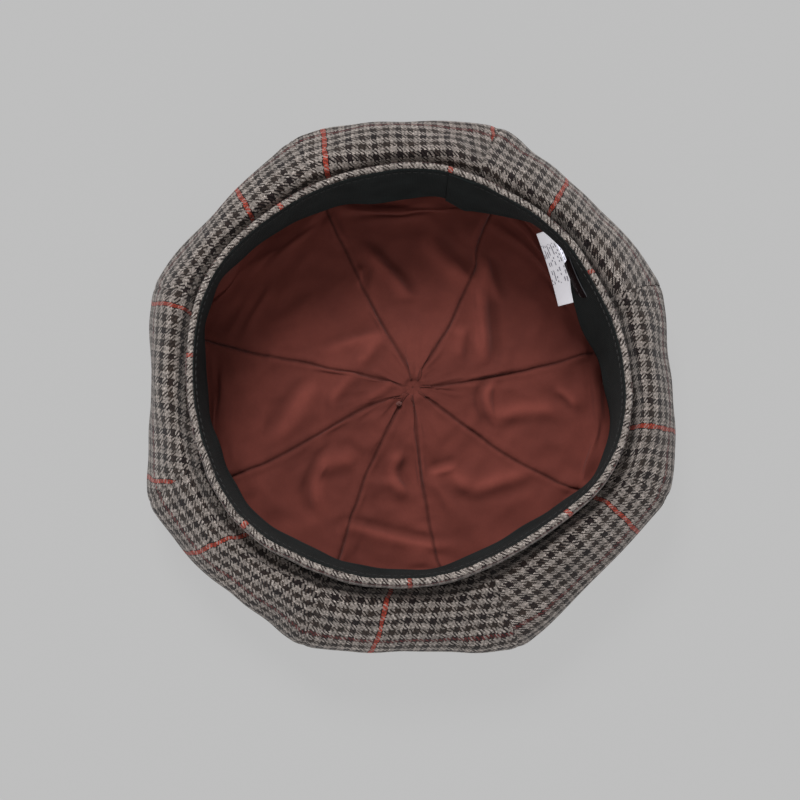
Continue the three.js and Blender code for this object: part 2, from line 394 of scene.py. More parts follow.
BRICK = rgb(186, 72, 54)
MAROON = rgb(112, 42, 42)
WARP_SHADES = rgb(48, 37, 37), rgb(70, 59, 54), rgb(158, 147, 140)  # dark, every second dark one, light
WEFT_SHADES = rgb(28, 20, 21), rgb(50, 40, 34), rgb(184, 174, 167)


def on_line(g, coordinate):
    """1 on the threads of a coloured line, half a stripe wide, and 0 on the others."""
    place = g.math("FLOORED_MODULO", g.plus(coordinate, STRIPE / 2), STRIPE * OVERCHECK)
    return g.math("COMPARE", place, STRIPE / 2 - 0.5, STRIPE / 4 + 0.1)


def stripes(g, coordinate, shades, line):
    """The colour of one set of threads: dark and light stripes in turn, every second dark one paler, with
    a coloured line now and then."""
    dark, middle, light = shades
    stripe = g.math("FLOOR", g.over(g.plus(coordinate, STRIPE / 2), STRIPE))
    is_light = g.math("FLOORED_MODULO", stripe, 2)
    fourth = g.math("COMPARE", g.math("FLOORED_MODULO", stripe, 4), 2, 0.1)
    colour = g.mix(fourth, dark, middle)
    colour = g.mix(is_light, colour, light)
    return g.mix(on_line(g, coordinate), colour, line)


def make_tweed():
    g = Graph("tweed")
    u, v = g.pair("grain")
    place = g.place()
    shifted = g.node("ShaderNodeVectorMath", {0: place, 1: (3.1, 1.7, 0.4)}, operation="ADD").outputs[0]
    u = g.plus(u, g.remap(g.noise(place, 110.0, 2.0), 0.25, 0.75, -0.8 * MM, 0.8 * MM))
    v = g.plus(v, g.remap(g.noise(shifted, 110.0, 2.0), 0.25, 0.75, -0.8 * MM, 0.8 * MM))
    warp, weft = g.over(u, THREAD), g.over(v, THREAD)
    i, j = g.math("FLOOR", warp), g.math("FLOOR", weft)
    across_warp = g.minus(warp, i)
    across_weft = g.minus(weft, j)
    step = g.math("FLOORED_MODULO", g.plus(i, j), 4)
    warp_on_top = g.math("LESS_THAN", step, 1.5)

    warp_colour = stripes(g, i, WARP_SHADES, BRICK)
    weft_colour = stripes(g, j, WEFT_SHADES, MAROON)

    def unevenness(own_at, along_at):
        """Every thread's own shade, times the shade of the thick and thin places along it."""
        own = g.remap(g.random(own_at), 0, 1, 0.8, 1.2)
        slubs = g.noise(along_at, 1.0, 3.0, 0.65)
        return g.times(own, g.remap(slubs, 0.34, 0.66, 0.5, 1.5))

    warp_slubs = g.vector(g.times(i, 3.7), g.times(v, 520.0))
    weft_slubs = g.vector(g.times(u, 520.0), g.times(j, 3.7))
    warp_colour = g.scaled(warp_colour, unevenness(g.vector(i, 7.0), warp_slubs))
    weft_colour = g.scaled(weft_colour, unevenness(g.vector(3.0, j), weft_slubs))
    colour = g.mix(warp_on_top, weft_colour, warp_colour)
    colour = g.mix(g.times(on_line(g, i), 0.45), colour, BRICK)

    def round_thread(across_it):
        off = g.minus(g.times(across_it, 2), 1)
        return g.minus(1, g.times(off, off))

    height = g.plus(
        g.times(round_thread(across_warp), warp_on_top),
        g.times(round_thread(across_weft), g.minus(1, warp_on_top)),
    )
    nap = g.noise(place, 4500.0, 3.0, 0.7)
    flecks = g.noise(place, 800.0, 4.0, 0.75)
    faded = g.noise(place, 38.0, 3.0, 0.6)
    height = g.plus(height, g.times(nap, 0.7))
    # Painted shade: the colour darkens where the woven surface lies low, between the threads and in the nap's
    # hollows, and lightens a little on the highest places.
    colour = g.scaled(colour, g.remap(height, 0.2, 1.5, 0.5, 1.15))
    colour = g.scaled(colour, g.remap(flecks, 0.38, 0.62, 0.5, 1.35))
    colour = g.scaled(colour, g.remap(faded, 0.3, 0.7, 0.9, 1.1))
    normal = g.bump(height, 0.16 * MM, 0.7)
    return g.finish(colour, 0.92, normal, Sheen_Weight=0.25, Sheen_Roughness=0.45, Specular_IOR_Level=0.2)


def make_lining():
    g = Graph("lining")
    u, v = g.pair("grain")
    place = g.place()
    pitch = 0.26 * MM
    a, b = g.over(u, pitch), g.over(v, pitch)
    twill = g.wave(g.plus(a, g.times(b, 0.5)), 2)
    threads = g.wave(a, 1)
    fibre = g.noise(g.vector(g.times(u, 6000.0), g.times(v, 700.0)), 1.0, 3.0, 0.6)
    cloudy = g.noise(place, 55.0, 4.0, 0.6)
    colour = g.mix(g.remap(cloudy, 0.3, 0.7, 0, 1), rgb(117, 59, 51), rgb(131, 68, 59))
    colour = g.scaled(colour, g.remap(fibre, 0.2, 0.8, 0.88, 1.12))
    # Painted shade: the colour darkens near the seams and in the folds' valleys, and a painted highlight
    # lightens the folds' ridges.
    to_seam, raised = g.pair("painted_shade")
    colour = g.scaled(colour, g.remap(to_seam, 0.15 * MM, 1.2 * MM, 0.6, 1.0))
    colour = g.scaled(colour, g.remap(raised, -FOLD_DEPTH, 1.5 * MM, 0.66, 1.25))
    brushed = g.noise(place, 16.0, 4.0, 0.65)
    colour = g.scaled(colour, g.remap(brushed, 0.35, 0.65, 0.88, 1.1))
    height = g.plus(g.times(twill, 0.5), g.times(threads, 0.25))
    height = g.plus(height, g.times(fibre, 0.8))
    normal = g.bump(height, 0.05 * MM, 0.6)
    rough = g.remap(cloudy, 0.3, 0.7, 0.8, 0.9)
    return g.finish(colour, rough, normal, Sheen_Weight=0.12, Sheen_Roughness=0.5, Specular_IOR_Level=0.15)


def make_ribbon():
    g = Graph("ribbon")
    u, v = g.pair("grain")
    rib = g.wave(u, 0.75 * MM)
    fine = g.wave(v, 0.3 * MM)
    cloudy = g.noise(g.place(), 90.0, 3.0)
    colour = g.mix(g.remap(cloudy, 0.3, 0.7, 0, 1), rgb(31, 36, 36), rgb(40, 45, 45))
    # Painted shade: the colour darkens in the hollows between the ribs.
    colour = g.scaled(colour, g.remap(rib, -1, 1, 0.8, 1.1))
    height = g.plus(rib, g.times(fine, 0.3))
    normal = g.bump(height, 0.06 * MM, 0.7)
    return g.finish(colour, 0.85, normal, Sheen_Weight=0.03, Specular_IOR_Level=0.12)


def make_buckram():
    g = Graph("buckram")
    u, v = g.pair("grain")
    open_weave = g.times(
        g.wave(u, 1.2 * MM),
        g.wave(v, 1.2 * MM),
    )
    # Painted shade: the colour darkens where the weave's surface lies low.
    colour = g.scaled(rgb(206, 199, 180), g.remap(open_weave, -1, 1, 0.75, 1.05))
    return g.finish(colour, 0.9, g.bump(open_weave, 0.1 * MM))


def make_care_label():
    g = Graph("care_label_tape")
    u, v = g.pair("grain")
    place = g.place()
    rows = g.math("FLOOR", g.over(v, 1.9 * MM))
    within = g.math("FRACT", g.over(v, 1.9 * MM))
    marks = g.math("FLOOR", g.over(u, 1.0 * MM))
    printed = g.math("GREATER_THAN", g.random(g.vector(marks, rows)), 0.55)
    printed = g.times(printed, g.math("LESS_THAN", within, 0.5))
    in_block = g.math("LESS_THAN", g.math("ABSOLUTE", g.minus(u, 2 * MM)), 9.5 * MM)
    printed = g.times(printed, in_block)
    weave = g.noise(place, 3000.0, 2.0)
    colour = g.mix(g.times(printed, 0.8), rgb(246, 246, 252), rgb(92, 92, 104))
    colour = g.scaled(colour, g.remap(weave, 0.3, 0.7, 0.97, 1.03))
    # Painted light: the label glows a little with its own colour, so it stays bright white even in the
    # crown's shade.
    g.set(g.shader.inputs["Emission Color"], colour)
    return g.finish(colour, 0.55, g.bump(weave, 0.03 * MM), Sheen_Weight=0.1, Emission_Strength=0.4)


def make_size_label():
    g = Graph("size_label_satin")
    u, v = g.pair("grain")
    satin = g.wave(v, 0.22 * MM)
    # Painted highlight: a thin light strip along the label's sewn edge; the two marks are printed.
    painted_edge_highlight = g.math("LESS_THAN", v, 0.35 * MM)

    def mark(at_u, at_v):
        off_u = g.math("ABSOLUTE", g.minus(u, at_u))
        off_v = g.math("ABSOLUTE", g.minus(v, at_v))
        return g.times(g.math("LESS_THAN", off_u, 0.9 * MM), g.math("LESS_THAN", off_v, 0.3 * MM))

    marks = g.plus(mark(-1.5 * MM, 7.0 * MM), mark(-4.4 * MM, 6.8 * MM))
    light = g.math("MINIMUM", g.plus(g.times(painted_edge_highlight, 0.5), marks), 1.0)
    colour = g.mix(light, rgb(11, 11, 14), rgb(150, 152, 158))
    return g.finish(colour, 0.5, g.bump(satin, 0.02 * MM), Specular_IOR_Level=0.25, Anisotropic=0.3)


def make_thread(name, colour):
    g = Graph(name)
    place = g.place()
    strands = g.noise(place, 2500.0, 3.0, 0.7)
    shade = g.scaled(colour, g.remap(strands, 0.3, 0.7, 0.7, 1.25))
    return g.finish(shade, 0.6, g.bump(strands, 0.08 * MM), Sheen_Weight=0.3)


def make_mould():
    g = Graph("mould_plastic")
    grainy = g.noise(g.place(), 1500.0, 3.0)
    colour = g.scaled(rgb(44, 44, 44), g.remap(grainy, 0.3, 0.7, 0.9, 1.1))
    return g.finish(colour, g.remap(grainy, 0.3, 0.7, 0.4, 0.55), g.bump(grainy, 0.03 * MM))


def make_steel():
    g = Graph("button_steel")
    brushed = g.noise(g.place(), 900.0, 4.0, 0.7)
    colour = g.scaled(rgb(200, 200, 203), g.remap(brushed, 0.3, 0.7, 0.85, 1.05))
    return g.finish(colour, g.remap(brushed, 0.3, 0.7, 0.25, 0.45), Metallic=1.0)


TWEED_CLOTH = make_tweed()
LINING_CLOTH = make_lining()
RIBBON_CLOTH = make_ribbon()
BUCKRAM_CLOTH = make_buckram()
CARE_TAPE = make_care_label()
SIZE_SATIN = make_size_label()
RUST_THREAD = make_thread("rust_thread", rgb(120, 66, 58))
BLACK_THREAD = make_thread("black_thread", rgb(24, 27, 27))
MOULD_PLASTIC = make_mould()
BUTTON_STEEL = make_steel()


# ---- Crown ----

CROWN_ROWS = 150
CROWN_COLUMNS = 56
HUB = 4 * MM


def panel_angle(index, share, seams):
    """The angle at a place across a panel, from its first seam at -1 to its second at 1."""
    first = seams[index]
    second = seams[(index + 1) % PANELS] + (TAU if index == PANELS - 1 else 0)
    return first + (second - first) * (share + 1) / 2


def crown_grid(index, depth=0.0, rows=CROWN_ROWS, columns=CROWN_COLUMNS):
    """Points of one panel, depth inside the crown's outer surface, with the surface's outward directions and
    the distance along the cloth from the widest line, which is positive towards the headband."""
    crowding = math.pi / 2 * 0.9  # columns lie closer together near the seams
    shares = np.sin(np.linspace(-1, 1, columns + 1) * crowding) / math.sin(crowding)
    points, outward, along = [], [], []
    for share in shares:
        angle = panel_angle(index, share, CROWN_SEAMS)
        line, widest = crown_profile(angle, share, HUB)
        total = arc_lengths(line)[-1]
        at = np.linspace(0, total, rows)
        line = resample(line, at)
        tangent = np.gradient(line, axis=0)
        tangent /= np.linalg.norm(tangent, axis=1)[:, None]
        facing = np.stack([tangent[:, 1], -tangent[:, 0]], -1)
        inner = line - facing * depth
        points.append(polar(inner[:, 0], np.full(rows, angle), inner[:, 1]))
        outward.append(polar(facing[:, 0], np.full(rows, angle), facing[:, 1]))
        along.append(at - widest)
    return tuple(np.stack(x, 1) for x in (points, outward, along))


def drape_wrinkles(points, z):
    """Soft dents and folds of the crown's cloth, none where it lies on the table."""
    free = smooth(1.5 * MM, 12 * MM, z)
    return free * (1.5 * MM * ripples(points, 70 * MM, 3) + 0.6 * MM * ripples(points, 26 * MM, 4))


def make_crown():
    for index in range(PANELS):
        points, outward, along = crown_grid(index)
        middle = panel_angle(index, 0, CROWN_SEAMS)
        radius = np.hypot(points[..., 0], points[..., 1])
        angle = np.arctan2(points[..., 1], points[..., 0])
        turn = (angle - middle + math.pi) % TAU - math.pi
        sideways = radius * np.sin(turn)
        half_width = np.abs(sideways[:, -1:])
        to_seam = half_width - np.abs(sideways)
        to_band = along[-1:] - along

        groove = -0.25 * MM * np.exp(-((to_seam / (0.9 * MM)) ** 2))
        ridge = 0.2 * MM * np.exp(-(((to_seam - 4 * MM) / (2.5 * MM)) ** 2))
        pull = np.sin(points[..., 2] / (7 * MM) * TAU + 2.1 * index)
        pucker = 0.12 * MM * pull * np.exp(-to_seam / (5 * MM))
        gathers = 0.5 * MM * ripples(polar(90 * MM, angle, 0 * angle), 9 * MM, 11)
        gathers = gathers * np.exp(-to_band / (9 * MM)) * smooth(0, 3 * MM, to_band)
        raised = points[..., 2]
        relief = (groove + ridge + pucker) * smooth(-1 * MM, 3 * MM, raised) + gathers
        relief += drape_wrinkles(points, raised) * smooth(2 * MM, 14 * MM, to_band)
        points = points + outward * relief[..., None]
        points[..., 2] = np.maximum(points[..., 2], 0.05 * MM)

        line_at, skew = PANEL_CUTS[index]
        u = sideways - line_at
        turned = u * math.cos(skew) + along * math.sin(skew)
        grain = np.stack([turned, along - MAROON_ABOVE_WIDEST + u * 0.02], -1)
        piece = grid_piece(f"crown_cloth_{index + 1}", points, TWEED_CLOTH, grain)
        thicken(piece, TWEED)
        node = f"crown_panel_{index + 1}"
        cloth_piece(piece, "cap", [node])


# ---- Headband, stiffener and sweatband ----

RING_COLUMNS = 480


def ring_grid(section):
    """A ring that follows the opening. section lists (offset, z) points; the soft rim's wave is added."""
    angle = np.arange(RING_COLUMNS) * TAU / RING_COLUMNS
    out, up = rim_wave(angle)
    rows = [polar(opening_radius(angle, offset) + out, angle, z + up) for offset, z in section]
    grid = np.stack(rows)
    around = np.linspace(0, TAU * (OPENING_X + OPENING_Y) / 2, RING_COLUMNS + 1)
    down = arc_lengths(np.array(section))
    grain = np.stack(np.broadcast_arrays(around[None, :], down[:, None]), -1)
    return grid, grain


def make_headband():
    foot = SEAM_Z + 0.3 * MM
    half = BAND_THICKNESS / 2
    straight = np.linspace(foot, RIM_Z - half, 14)
    swell = 0.35 * MM * np.sin(np.linspace(0, math.pi, 14))
    section = [(BAND_THICKNESS + s, z) for s, z in zip(swell, straight)]
    for turn in np.linspace(0, math.pi, 15)[1:-1]:
        section.append((half + half * math.cos(turn), RIM_Z - half + half * math.sin(turn)))
    section += [(0, z) for z in straight[::-1]]
    grid, grain = ring_grid(section)
    length = float(grain[-1, -1, 1])
    uneven = 0.15 * MM * np.clip(ripples(grid, 14 * MM, 21), -1.2, 1.2)
    grid = grid + uneven[..., None] * np.array([1, 1, 0.8])
    grain[..., 1] -= length / 2 - STRIPE * THREAD
    grain[..., 0] += 30 * MM
    piece = grid_piece("headband_cloth", grid, TWEED_CLOTH, grain, ring=True)
    thicken(piece, 0.9 * MM)
    cloth_piece(piece, "cap", ["headband"])

    top = RIM_Z - half - 0.6 * MM
    grid, grain = ring_grid([(half, z) for z in np.linspace(foot + 0.3 * MM, top, 6)])
    piece = grid_piece("stiffener_cloth", grid, BUCKRAM_CLOTH, grain, ring=True)
    thicken(piece, 0.6 * MM, 0)
    cloth_piece(piece, "cap", ["headband_stiffener"])


# How far the sweatband's free edge stands inside its sewn edge, in millimetres, at every tenth degree.
SWEATBAND_LEAN = [
    5.6, 7.3, 9.5, 4.6, -1.7, -4.1, 0.7, 5.9, 4.5, 6.2, 5.7, 3.2, 1.6, 0.6, -0.3, -1.8, -0.2, 1.7,
    3.3, 3.9, 4.8, 5.3, 6.1, 7.0, 6.9, 5.9, 6.2, 5.7, 5.5, 5.6, 5.2, 5.7, 5.0, 3.3, 2.3, 3.4,
]
SWEATBAND_JOIN = math.radians(70)
SWEATBAND_LAP = math.radians(8)


def sweatband_wall(angle, z):
    """Radius of the sweatband's outer face."""
    drop = np.clip((SWEATBAND_TOP - z) / SWEATBAND_WIDTH, 0, 1)
    flare = np.clip((SEAM_Z - z) / (SEAM_Z - SWEATBAND_FREE), 0, 1)
    lean = periodic(angle, SWEATBAND_LEAN) * MM
    out, _ = rim_wave(angle)
    return opening_radius(angle, -0.3 * MM) + out - np.where(lean > 0, lean * drop**1.25, lean * flare**1.5)


def make_sweatband():
    columns, rows = 560, 26
    angle = np.linspace(SWEATBAND_JOIN, SWEATBAND_JOIN + TAU + SWEATBAND_LAP, columns + 1)
    z = np.linspace(SWEATBAND_TOP, SWEATBAND_FREE, rows)
    a, h = np.meshgrid(angle, z)
    lap = smooth(TAU - 0.02, TAU + 0.03, a - SWEATBAND_JOIN)
    radius = sweatband_wall(a, h) - lap * 0.9 * MM
    _, up = rim_wave(a)
    grid = polar(radius, a, h + up)
    drop = (SWEATBAND_TOP - h) / SWEATBAND_WIDTH
    buckle = 0.5 * MM * ripples(grid, 22 * MM, 31) * smooth(0.5, 1, drop)
    edge_roll = -0.5 * MM * smooth(0.93, 1.0, drop)
    grid[..., 0] += (buckle + edge_roll) * np.cos(a)
    grid[..., 1] += (buckle + edge_roll) * np.sin(a)
    grid[..., 2] += 0.4 * MM * ripples(polar(90 * MM, a, 0 * a), 30 * MM, 33) * drop
    # Beside the care label the free edge stands higher, so that the label can swing below it.
    degrees = np.degrees(a) - 360
    at_label = smooth(18, 26, degrees) * (1 - smooth(48, 56, degrees))
    grid[..., 2] += 2.4 * MM * at_label * drop**3
    grain = np.stack([a * (OPENING_X + OPENING_Y) / 2, SWEATBAND_TOP - h], -1)
    piece = grid_piece("sweatband_cloth", grid, RIBBON_CLOTH, grain)
    thicken(piece, RIBBON)
    cloth_piece(piece, "cap", ["sweatband"])


def capsules(name, centres, directions, length, radius, material, sides=8):
    """Many short rounded rods in one mesh, such as stitches."""
    profile = [(-0.5, 0.0), (-0.46, 0.55), (-0.3, 0.95), (0.0, 1.0), (0.3, 0.95), (0.46, 0.55), (0.5, 0.0)]
    vertices, faces = [], []
    for centre, direction in zip(centres, directions):
        direction = Vector(direction).normalized()
        side = direction.orthogonal().normalized()
        third = direction.cross(side)
        start = len(vertices)
        for along, size in profile[1:-1]:
            for k in range(sides):
                turn = TAU * k / sides
                off = (side * math.cos(turn) + third * math.sin(turn)) * (radius * size)
                vertices.append(Vector(centre) + direction * (along * length) + off)
        low = len(vertices)
        vertices += [Vector(centre) - direction * (length / 2), Vector(centre) + direction * (length / 2)]
        rings = len(profile) - 2
        for ring in range(rings - 1):
            for k in range(sides):
                a, b = start + ring * sides + k, start + ring * sides + (k + 1) % sides
                faces.append((a, b, b + sides, a + sides))
        last = start + (rings - 1) * sides
        for k in range(sides):
            faces.append((start + (k + 1) % sides, start + k, low))
            faces.append((last + k, last + (k + 1) % sides, low + 1))
    mesh = bpy.data.meshes.new(name)
    mesh.from_pydata(vertices, [], faces)
    mesh.polygons.foreach_set("use_smooth", np.ones(len(faces), bool))
    return link(name, mesh, material)


def make_rim_stitches():
    """The line of stitches that holds the sweatband to the headband."""
    count = 188
    angle = (np.arange(count) + 0.5) * TAU / count
    z = SWEATBAND_TOP - 2.2 * MM
    _, up = rim_wave(angle)
    radius = sweatband_wall(angle, z) - RIBBON
    centres = polar(radius, angle, z + up)
    directions = np.stack([-np.sin(angle), np.cos(angle), 0.06 * np.cos(angle * 31)], -1)
    piece = capsules("sweatband_stitches", centres, directions, 2.1 * MM, 0.2 * MM, BLACK_THREAD)
    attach(piece, "cap")


# ---- Lining ----

LINING_COLUMNS = 14  # a panel's columns while its cloth is simulated
LINING_ROWS = 46
LINING_ACROSS = 64  # a finished panel's columns
LINING_SLACK = 0.05  # how much larger the lining is cut than the space inside the crown
LINING_HUB = 3 * MM
PIN_REACH = 12 * MM  # how far from the axis the lining is lifted over the pin's head
STAR_LEVEL = 9.2 * MM  # the least height of the lining's star
FLOOR_CLEARANCE = 2 * MM  # from the crown's cloth to the floor and the walls that the lining settles on
WALL_CLEARANCE = 1.4 * MM


def lining_start():
    """The lining laid evenly inside the crown, as one ring of columns, with its places on the flat cloth."""
    columns, places = [], []
    for index in range(PANELS):
        for c in range(LINING_COLUMNS):
            share = 2 * c / LINING_COLUMNS - 1
            outer = panel_angle(index, share, LINING_SEAMS_OUT)
            inner = panel_angle(index, share, LINING_SEAMS_IN)
            line, _ = crown_profile(outer, 0.6 * share, LINING_HUB)
            line = resample(line, np.linspace(0, arc_lengths(line)[-1], LINING_ROWS))
            tangent = np.gradient(line, axis=0)
            tangent /= np.linalg.norm(tangent, axis=1)[:, None]
            line = line - np.stack([tangent[:, 1], -tangent[:, 0]], -1) * LINING_INSET
            line[:, 0] = np.maximum(line[:, 0], LINING_HUB * 0.9)
            angle = inner + (outer - inner) * smooth(0, 90 * MM, line[:, 0])
            points = polar(line[:, 0], angle, line[:, 1])
            points[:, :2] += LINING_STAR * (1 - smooth(10 * MM, 80 * MM, line[:, 0]))[:, None]
            columns.append(points)
            places.append(arc_lengths(line))
    return np.stack(columns, 1), np.stack(places, 1)


def simulate_lining(start):
    """Lets the lining's slack cloth fall into the crown, held at the headband and at its centre."""
    cloth = grid_piece("lining_sim", start, ring=True, flip=True)
    held = cloth.vertex_groups.new(name="held")
    rows, columns = start.shape[:2]
    index = np.arange(rows * columns).reshape(rows, columns)
    held.add(index[-2:].ravel().tolist(), 1.0, "REPLACE")
    held.add(index[:1].ravel().tolist(), 1.0, "REPLACE")
    seams = cloth.vertex_groups.new(name="seams")
    beside = np.concatenate([np.roll(index, s, 1)[:, ::LINING_COLUMNS].ravel() for s in (-1, 0, 1)])
    seams.add(beside.tolist(), 1.0, "REPLACE")

    bpy.ops.mesh.primitive_plane_add(size=0.6, location=(0, 0, TWEED + FLOOR_CLEARANCE))
    floor = bpy.context.object
    walls = []
    for i in range(PANELS):
        points = crown_grid(i, TWEED + WALL_CLEARANCE, 60, 12)[0]
        walls.append(grid_piece(f"wall_{i}", points, flip=True))
    for hard in [floor, *walls]:
        hard.modifiers.new("collide", "COLLISION")
        hard.collision.thickness_outer = 0.8 * MM
        hard.collision.cloth_friction = 8
    sim = cloth.modifiers.new("cloth", "CLOTH")
    settings = sim.settings
    settings.quality = 5
    settings.mass = 0.15
    settings.tension_stiffness = settings.compression_stiffness = 15
    settings.shear_stiffness = 5
    settings.bending_stiffness = 1.2
    settings.air_damping = 2
    settings.vertex_group_mass = "held"
    settings.vertex_group_shrink = "seams"
    settings.shrink_min = -LINING_SLACK
    settings.shrink_max = 0.0
    sim.collision_settings.distance_min = 0.8 * MM
    sim.collision_settings.collision_quality = 3
    frames = 40
    sim.point_cache.frame_start, sim.point_cache.frame_end = 1, frames
    for number in range(1, frames + 1):
        bpy.context.scene.frame_set(number)
    shown = cloth.evaluated_get(bpy.context.evaluated_depsgraph_get())
    flat = np.zeros(rows * columns * 3)
    shown.data.vertices.foreach_get("co", flat)
    for used in [cloth, floor, *walls]:
        bpy.data.objects.remove(used)
    bpy.context.scene.frame_set(1)
    return flat.reshape(rows, columns, 3)


def ring_normals(grid):
    down = np.gradient(grid, axis=0)
    right = np.roll(grid, -1, 1) - np.roll(grid, 1, 1)
    normal = np.cross(right, down)
    return normal / np.maximum(np.linalg.norm(normal, axis=-1), 1e-12)[..., None]


# Folds of the lining: height and width in millimetres, and the (x, y) points each one runs through, in
# millimetres. The cloth stands up on the left of a fold's line and sinks on its right.
LINING_FOLDS = [
    (3.6, 5, [(39, 11), (39, 25), (38, 39), (37, 51), (37, 62)]),
    (2.25, 4, [(45, 42), (42, 51), (39, 61), (37, 67)]),
    (3.0, 4.5, [(5, 43), (-2, 54), (-11, 64), (-20, 74)]),
    (2.25, 6, [(34, 51), (24, 62), (15, 71), (11, 81)]),
    (2.4, 3.5, [(42, 9), (36, 3), (35, -4), (39, -12), (44, -15)]),
    (1.65, 5, [(39, -15), (50, -11), (62, -10), (73, -11)]),
    (1.35, 3, [(67, 2), (73, -2), (78, -8)]),
    (1.5, 4, [(-34, -8), (-27, 2), (-20, 9)]),
    (1.35, 4, [(-23, 9), (-15, 17), (-7, 28)]),
    (1.35, 4, [(-8, 31), (-23, 27), (-32, 24), (-41, 20)]),
    (1.8, 6, [(-41, 9), (-50, 0), (-58, -14), (-63, -24)]),
    (2.7, 4.5, [(-36, -23), (-39, -30), (-43, -40), (-43, -49), (-39, -59)]),
    (1.35, 5, [(-41, -40), (-32, -35), (-20, -33)]),
    (2.1, 4, [(4, -46), (-2, -40), (-3, -34), (1, -26)]),
    (1.65, 3.5, [(25, -31), (17, -33), (9, -36)]),
    (1.8, 5, [(10, -37), (17, -38), (24, -43), (30, -46), (41, -44), (53, -40), (65, -37)]),
    (1.8, 4, [(27, -67), (10, -67), (-5, -64), (-23, -59), (-29, -60), (-35, -65)]),
    (1.5, 3, [(-20, 48), (-19, 54), (-18, 61)]),
    (1.05, 3, [(-20, -6), (-11, -1), (-2, 5)]),
    (1.35, 4, [(26, 14), (28, 25), (29, 34)]),
]


def fold_relief(points):
    """How far the lining's folds raise it at each point."""
    total = np.zeros(points.shape[:2])
    for height, width, path in LINING_FOLDS:
        path = refine(refine(np.array(path, float)[:, None] * MM, 0), 0)[:, 0]
        lengths = arc_lengths(path)
        nearest = np.full(total.shape, np.inf)
        signed, place = np.zeros(total.shape), np.zeros(total.shape)
        for start, end, before in zip(path, path[1:], lengths):
            step = end - start
            size = np.linalg.norm(step)
            t = np.clip((points[..., :2] - start) @ step / size**2, 0, 1)
            off = points[..., :2] - start - t[..., None] * step
            distance = np.linalg.norm(off, axis=-1)
            left = np.sign(step[0] * off[..., 1] - step[1] * off[..., 0])
            closer = distance < nearest
            nearest = np.where(closer, distance, nearest)
            signed = np.where(closer, left * distance, signed)
            place = np.where(closer, (before + t * size) / lengths[-1], place)
        fade = smooth(0, 0.3, place) * (1 - smooth(0.7, 1, place))
        ridge = np.exp(-((signed / (width * MM) - 0.6) ** 2) / 0.6)
        valley = np.exp(-((signed / (width * MM) + 0.4) ** 2) / 0.3)
        total += height * MM * fade * (ridge - 0.6 * valley)
    return np.maximum(total, -FOLD_DEPTH)


def relax(grid, times):
    """The grid with its sharpest wrinkles evened out. Its first two and last two rows stay as they are."""
    for _ in range(times):
        around = (np.roll(grid, 1, 1) + np.roll(grid, -1, 1)) / 2
        along = grid.copy()
        along[1:-1] = (grid[2:] + grid[:-2]) / 2
        even = (2 * grid + around + along) / 4
        grid = np.concatenate([grid[:2], even[2:-2], grid[-2:]])
    return grid


def make_lining_pieces():
    start, along = lining_start()
    settled = simulate_lining(start)
    settled = relax(settled, 2)
    radius = np.hypot(settled[..., 0], settled[..., 1])
    height = settled[..., 2]
    over_pin = (9.0 - 1.2 * (radius / PIN_REACH) ** 2) * MM
    height = np.where(radius < PIN_REACH, np.maximum(height, over_pin), height)
    from_star = np.linalg.norm(settled[..., :2] - settled[0, :, :2].mean(0), axis=-1)
    level = max(np.interp(9 * MM, from_star.mean(1), height.mean(1)), STAR_LEVEL)
    settled[..., 2] = level + (height - level) * smooth(2 * MM, 10 * MM, from_star)
    for _ in range(3):
        settled = refine(settled, 1, ring=True)
        along = refine(along[..., None], 1, ring=True)[..., 0]
    for _ in range(2):
        settled = refine(settled, 0)
        along = refine(along[..., None], 0)[..., 0]
    inwards = -ring_normals(settled)
    if inwards[len(inwards) // 3, 0, 2] < 0:
        inwards = -inwards
    columns = settled.shape[1]
    spread = np.linspace(0, 1, LINING_ACROSS + 1)
    spread -= 0.13 * np.sin(TAU * spread)  # closer together near the seams

    middle = settled[0].mean(0)
    for index in range(PANELS):
        at = (index + spread) * columns / PANELS
        low = np.floor(at + 1e-9).astype(int)
        part = (at - low)[None, :, None]

        def pick(grid):
            return grid[:, low % columns] * (1 - part) + grid[:, (low + 1) % columns] * part

        points, facing, down = pick(settled), pick(inwards), pick(along[..., None])[..., 0]
        width = np.linalg.norm(np.diff(points, axis=1), axis=-1).sum(1)[:, None]
        to_seam = np.minimum(spread, 1 - spread)[None, :] * width
        groove = -0.5 * MM * np.exp(-((to_seam / (0.7 * MM)) ** 2))
        ridge = 0.3 * MM * np.exp(-(((to_seam - 2.2 * MM) / (1.5 * MM)) ** 2))
        pucker = 0.12 * MM * np.sin(down * TAU / (5.2 * MM)) * np.exp(-to_seam / (2.2 * MM))
        near = smooth(1 * MM, 7 * MM, down - down[0])
        folds = fold_relief(points)
        points = points + facing * ((groove + ridge + pucker) * near + folds)[..., None]

        # The panel's point runs on to the middle of the star.
        inner = (0.97, 0.65, 0.33)
        points = np.concatenate([*(points[:1] * (1 - t) + middle * t for t in inner), points])
        down = np.concatenate([*(down[:1] - LINING_HUB * t for t in inner), down])
        to_seam, folds, width = (np.concatenate([x[:1]] * 3 + [x]) for x in (to_seam, folds, width))
        to_seam = to_seam + 0.9 * MM * (1 - smooth(0, 11 * MM, down - down[0]))
        grain = np.stack([(2 * spread - 1)[None, :] * width / 2 + index * 0.37, down], -1)
        # Distance from the seam and height of the folds, from which the lining's material paints shade into
        # the seams and fold valleys and highlight onto fold ridges.
        painted_shade = np.stack([to_seam, folds], -1)
        piece = grid_piece(f"lining_cloth_{index + 1}", points, LINING_CLOTH, grain, flip=True, painted_shade=painted_shade)
        thicken(piece, 0.4 * MM)
        steps, sides = np.diff(points, axis=0), np.diff(points, axis=1)
        area = float(np.linalg.norm(np.cross(steps[:, :-1], sides[:-1]), axis=-1).sum())
        flat = (float(width.max()), float(down.max() - down.min()))
        area = min(area, flat[0] * flat[1])
        cloth_piece(piece, "cap", [f"lining_panel_{index + 1}"])
    return middle


